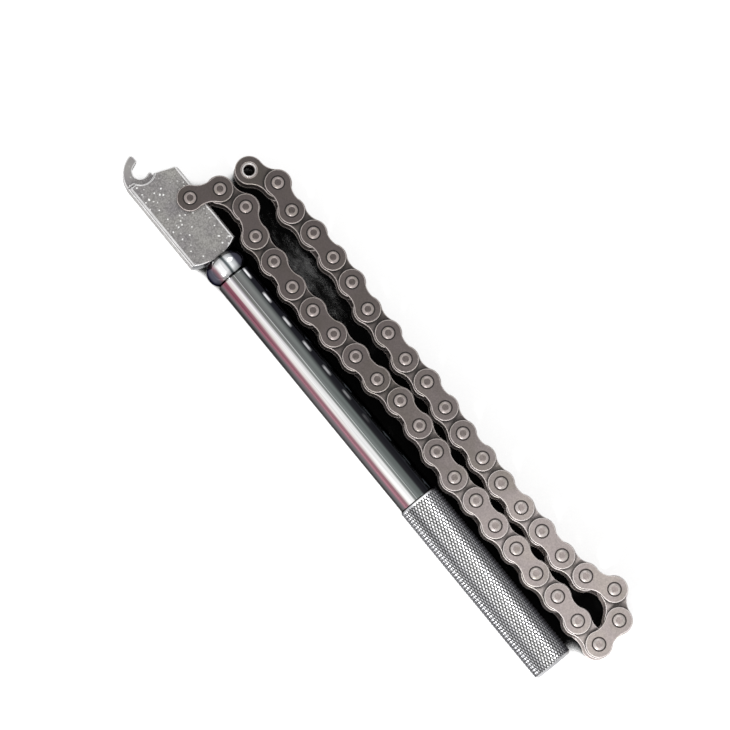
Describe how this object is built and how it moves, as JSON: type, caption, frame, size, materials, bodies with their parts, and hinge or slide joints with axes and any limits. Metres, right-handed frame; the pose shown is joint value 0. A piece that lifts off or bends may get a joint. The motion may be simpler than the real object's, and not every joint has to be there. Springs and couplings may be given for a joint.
{
  "type": "chain pipe wrench",
  "caption": "Chain pipe wrench with a hooked steel head, a chromed bar handle with a knurled grip and a bush chain of loose links doubled back beside the handle.",
  "frame": {"origin": "centre of the grip's flat end face, on the handle's axis", "axes": "+X along the handle's axis and out of the grip's end, so the head is towards -X; +Y from the handle towards the chain that lies beside it; +Z along the chain's pins, upwards as the tool lies flat"},
  "size_m": [0.2791, 0.0552, 0.0186],
  "materials": {
    "zinc": "rough cast, plated",
    "chrome": "polished",
    "plate_steel": "satin",
    "pin_steel": "satin"
  },
  "bodies": {
    "tool": {"head": "zinc", "handle": "chrome"},
    "anchor_link": {"anchor_plate_top": "plate_steel", "anchor_plate_bottom": "plate_steel", "anchor_pin": "pin_steel", "first_chain_pin": "pin_steel"},
    "chain_link_02": {"link_02": "plate_steel"},
    "chain_link_03": {"link_03": "plate_steel"},
    "chain_link_04": {"link_04": "plate_steel"},
    "chain_link_05": {"link_05": "plate_steel"},
    "chain_link_06": {"link_06": "plate_steel"},
    "chain_link_07": {"link_07": "plate_steel"},
    "chain_link_08": {"link_08": "plate_steel"},
    "chain_link_09": {"link_09": "plate_steel"},
    "chain_link_10": {"link_10": "plate_steel"},
    "chain_link_11": {"link_11": "plate_steel"},
    "chain_link_12": {"link_12": "plate_steel"},
    "chain_link_13": {"link_13": "plate_steel"},
    "chain_link_14": {"link_14": "plate_steel"},
    "chain_link_15": {"link_15": "plate_steel"},
    "chain_link_16": {"link_16": "plate_steel"},
    "chain_link_17": {"link_17": "plate_steel"},
    "chain_link_18": {"link_18": "plate_steel"},
    "chain_link_19": {"link_19": "plate_steel"},
    "chain_link_20": {"link_20": "plate_steel"},
    "chain_link_21": {"link_21": "plate_steel"},
    "chain_link_22": {"link_22": "plate_steel"},
    "chain_link_23": {"link_23": "plate_steel"},
    "chain_link_24": {"link_24": "plate_steel"},
    "chain_link_25": {"link_25": "plate_steel"},
    "chain_link_26": {"link_26": "plate_steel"},
    "chain_link_27": {"link_27": "plate_steel"},
    "chain_link_28": {"link_28": "plate_steel"},
    "chain_link_29": {"link_29": "plate_steel"},
    "chain_link_30": {"link_30": "plate_steel"},
    "chain_link_31": {"link_31": "plate_steel"},
    "chain_link_32": {"link_32": "plate_steel"},
    "chain_link_33": {"link_33": "plate_steel"},
    "chain_link_34": {"link_34": "plate_steel"},
    "chain_link_35": {"link_35": "plate_steel"},
    "chain_link_36": {"link_36": "plate_steel"},
    "chain_link_37": {"link_37": "plate_steel"},
    "chain_link_38": {"link_38": "plate_steel"},
    "chain_link_39": {"link_39": "plate_steel"},
    "end_link": {"end_plate_top": "plate_steel", "end_plate_bottom": "plate_steel", "end_bush_hinge": "pin_steel", "end_bush_open": "pin_steel"}
  },
  "joints": [
    {"name": "chain_hinge_01", "type": "hinge", "parent": "tool", "child": "anchor_link", "pos_m": [-0.2394, 0.0054, 0], "axis": [0, 0, 1], "range_deg": [-0.2, 50]},
    {"name": "chain_hinge_02", "type": "hinge", "parent": "anchor_link", "child": "chain_link_02", "pos_m": [-0.23464, 0.01718, 0], "axis": [0, 0, -1], "range_deg": [-45, 0.2]},
    {"name": "chain_hinge_03", "type": "hinge", "parent": "chain_link_02", "child": "chain_link_03", "pos_m": [-0.22243, 0.02068, 0], "axis": [0, 0, 1], "range_deg": [-0.4, 0.4]},
    {"name": "chain_hinge_04", "type": "hinge", "parent": "chain_link_03", "child": "chain_link_04", "pos_m": [-0.21058, 0.01612, 0], "axis": [0, 0, -1], "range_deg": [-0.4, 0.4]},
    {"name": "chain_hinge_05", "type": "hinge", "parent": "chain_link_04", "child": "chain_link_05", "pos_m": [-0.1979, 0.01546, 0], "axis": [0, 0, 1], "range_deg": [-0.4, 0.4]},
    {"name": "chain_hinge_06", "type": "hinge", "parent": "chain_link_05", "child": "chain_link_06", "pos_m": [-0.18523, 0.01457, 0], "axis": [0, 0, -1], "range_deg": [-0.4, 0.4]},
    {"name": "chain_hinge_07", "type": "hinge", "parent": "chain_link_06", "child": "chain_link_07", "pos_m": [-0.17253, 0.01502, 0], "axis": [0, 0, 1], "range_deg": [-0.4, 0.4]},
    {"name": "chain_hinge_08", "type": "hinge", "parent": "chain_link_07", "child": "chain_link_08", "pos_m": [-0.15984, 0.01546, 0], "axis": [0, 0, -1], "range_deg": [-0.4, 0.4]},
    {"name": "chain_hinge_09", "type": "hinge", "parent": "chain_link_08", "child": "chain_link_09", "pos_m": [-0.14719, 0.01657, 0], "axis": [0, 0, 1], "range_deg": [-0.4, 0.4]},
    {"name": "chain_hinge_10", "type": "hinge", "parent": "chain_link_09", "child": "chain_link_10", "pos_m": [-0.13452, 0.01745, 0], "axis": [0, 0, -1], "range_deg": [-0.4, 0.4]},
    {"name": "chain_hinge_11", "type": "hinge", "parent": "chain_link_10", "child": "chain_link_11", "pos_m": [-0.12194, 0.01922, 0], "axis": [0, 0, 1], "range_deg": [-0.4, 0.4]},
    {"name": "chain_hinge_12", "type": "hinge", "parent": "chain_link_11", "child": "chain_link_12", "pos_m": [-0.10925, 0.01878, 0], "axis": [0, 0, -1], "range_deg": [-0.4, 0.4]},
    {"name": "chain_hinge_13", "type": "hinge", "parent": "chain_link_12", "child": "chain_link_13", "pos_m": [-0.09662, 0.01745, 0], "axis": [0, 0, 1], "range_deg": [-0.4, 0.4]},
    {"name": "chain_hinge_14", "type": "hinge", "parent": "chain_link_13", "child": "chain_link_14", "pos_m": [-0.08397, 0.01634, 0], "axis": [0, 0, -1], "range_deg": [-0.4, 0.4]},
    {"name": "chain_hinge_15", "type": "hinge", "parent": "chain_link_14", "child": "chain_link_15", "pos_m": [-0.0713, 0.01723, 0], "axis": [0, 0, 1], "range_deg": [-0.4, 0.4]},
    {"name": "chain_hinge_16", "type": "hinge", "parent": "chain_link_15", "child": "chain_link_16", "pos_m": [-0.05861, 0.01679, 0], "axis": [0, 0, -1], "range_deg": [-0.4, 0.4]},
    {"name": "chain_hinge_17", "type": "hinge", "parent": "chain_link_16", "child": "chain_link_17", "pos_m": [-0.04593, 0.01745, 0], "axis": [0, 0, 1], "range_deg": [-0.4, 0.4]},
    {"name": "chain_hinge_18", "type": "hinge", "parent": "chain_link_17", "child": "chain_link_18", "pos_m": [-0.03323, 0.01723, 0], "axis": [0, 0, -1], "range_deg": [-0.4, 0.4]},
    {"name": "chain_hinge_19", "type": "hinge", "parent": "chain_link_18", "child": "chain_link_19", "pos_m": [-0.02056, 0.01811, 0], "axis": [0, 0, 1], "range_deg": [-0.4, 0.4]},
    {"name": "chain_hinge_20", "type": "hinge", "parent": "chain_link_19", "child": "chain_link_20", "pos_m": [-0.00786, 0.01811, 0], "axis": [0, 0, -1], "range_deg": [-0.2, 20]},
    {"name": "chain_hinge_21", "type": "hinge", "parent": "chain_link_20", "child": "chain_link_21", "pos_m": [0.00482, 0.01878, 0], "axis": [0, 0, 1], "range_deg": [-35, 0.2]},
    {"name": "chain_hinge_22", "type": "hinge", "parent": "chain_link_21", "child": "chain_link_22", "pos_m": [0.00262, 0.03129, 0], "axis": [0, 0, -1], "range_deg": [-0.2, 35]},
    {"name": "chain_hinge_23", "type": "hinge", "parent": "chain_link_22", "child": "chain_link_23", "pos_m": [-0.00827, 0.03783, 0], "axis": [0, 0, 1], "range_deg": [-35, 0.2]},
    {"name": "chain_hinge_24", "type": "hinge", "parent": "chain_link_23", "child": "chain_link_24", "pos_m": [-0.01968, 0.03226, 0], "axis": [0, 0, -1], "range_deg": [-0.4, 35]},
    {"name": "chain_hinge_25", "type": "hinge", "parent": "chain_link_24", "child": "chain_link_25", "pos_m": [-0.03219, 0.03005, 0], "axis": [0, 0, 1], "range_deg": [-35, 0.4]},
    {"name": "chain_hinge_26", "type": "hinge", "parent": "chain_link_25", "child": "chain_link_26", "pos_m": [-0.04489, 0.03005, 0], "axis": [0, 0, -1], "range_deg": [-0.5, 35]},
    {"name": "chain_hinge_27", "type": "hinge", "parent": "chain_link_26", "child": "chain_link_27", "pos_m": [-0.05758, 0.02961, 0], "axis": [0, 0, 1], "range_deg": [-35, 0.5]},
    {"name": "chain_hinge_28", "type": "hinge", "parent": "chain_link_27", "child": "chain_link_28", "pos_m": [-0.07028, 0.02961, 0], "axis": [0, 0, -1], "range_deg": [-0.5, 35]},
    {"name": "chain_hinge_29", "type": "hinge", "parent": "chain_link_28", "child": "chain_link_29", "pos_m": [-0.08296, 0.03028, 0], "axis": [0, 0, 1], "range_deg": [-35, 0.5]},
    {"name": "chain_hinge_30", "type": "hinge", "parent": "chain_link_29", "child": "chain_link_30", "pos_m": [-0.09566, 0.0305, 0], "axis": [0, 0, -1], "range_deg": [-0.8, 35]},
    {"name": "chain_hinge_31", "type": "hinge", "parent": "chain_link_30", "child": "chain_link_31", "pos_m": [-0.10831, 0.0316, 0], "axis": [0, 0, 1], "range_deg": [-35, 0.8]},
    {"name": "chain_hinge_32", "type": "hinge", "parent": "chain_link_31", "child": "chain_link_32", "pos_m": [-0.12098, 0.03249, 0], "axis": [0, 0, -1], "range_deg": [-1, 35]},
    {"name": "chain_hinge_33", "type": "hinge", "parent": "chain_link_32", "child": "chain_link_33", "pos_m": [-0.13365, 0.0316, 0], "axis": [0, 0, 1], "range_deg": [-35, 1]},
    {"name": "chain_hinge_34", "type": "hinge", "parent": "chain_link_33", "child": "chain_link_34", "pos_m": [-0.14628, 0.03293, 0], "axis": [0, 0, -1], "range_deg": [-1.2, 35]},
    {"name": "chain_hinge_35", "type": "hinge", "parent": "chain_link_34", "child": "chain_link_35", "pos_m": [-0.15898, 0.03271, 0], "axis": [0, 0, 1], "range_deg": [-35, 1.5]},
    {"name": "chain_hinge_36", "type": "hinge", "parent": "chain_link_35", "child": "chain_link_36", "pos_m": [-0.17152, 0.0347, 0], "axis": [0, 0, -1], "range_deg": [-2, 35]},
    {"name": "chain_hinge_37", "type": "hinge", "parent": "chain_link_36", "child": "chain_link_37", "pos_m": [-0.18422, 0.03514, 0], "axis": [0, 0, 1], "range_deg": [-35, 2.5]},
    {"name": "chain_hinge_38", "type": "hinge", "parent": "chain_link_37", "child": "chain_link_38", "pos_m": [-0.19692, 0.03536, 0], "axis": [0, 0, -1], "range_deg": [-3.5, 35]},
    {"name": "chain_hinge_39", "type": "hinge", "parent": "chain_link_38", "child": "chain_link_39", "pos_m": [-0.20957, 0.03426, 0], "axis": [0, 0, 1], "range_deg": [-35, 5]},
    {"name": "chain_hinge_40", "type": "hinge", "parent": "chain_link_39", "child": "end_link", "pos_m": [-0.22194, 0.03711, 0], "axis": [0, 0, -1], "range_deg": [-10, 35]}
  ]
}
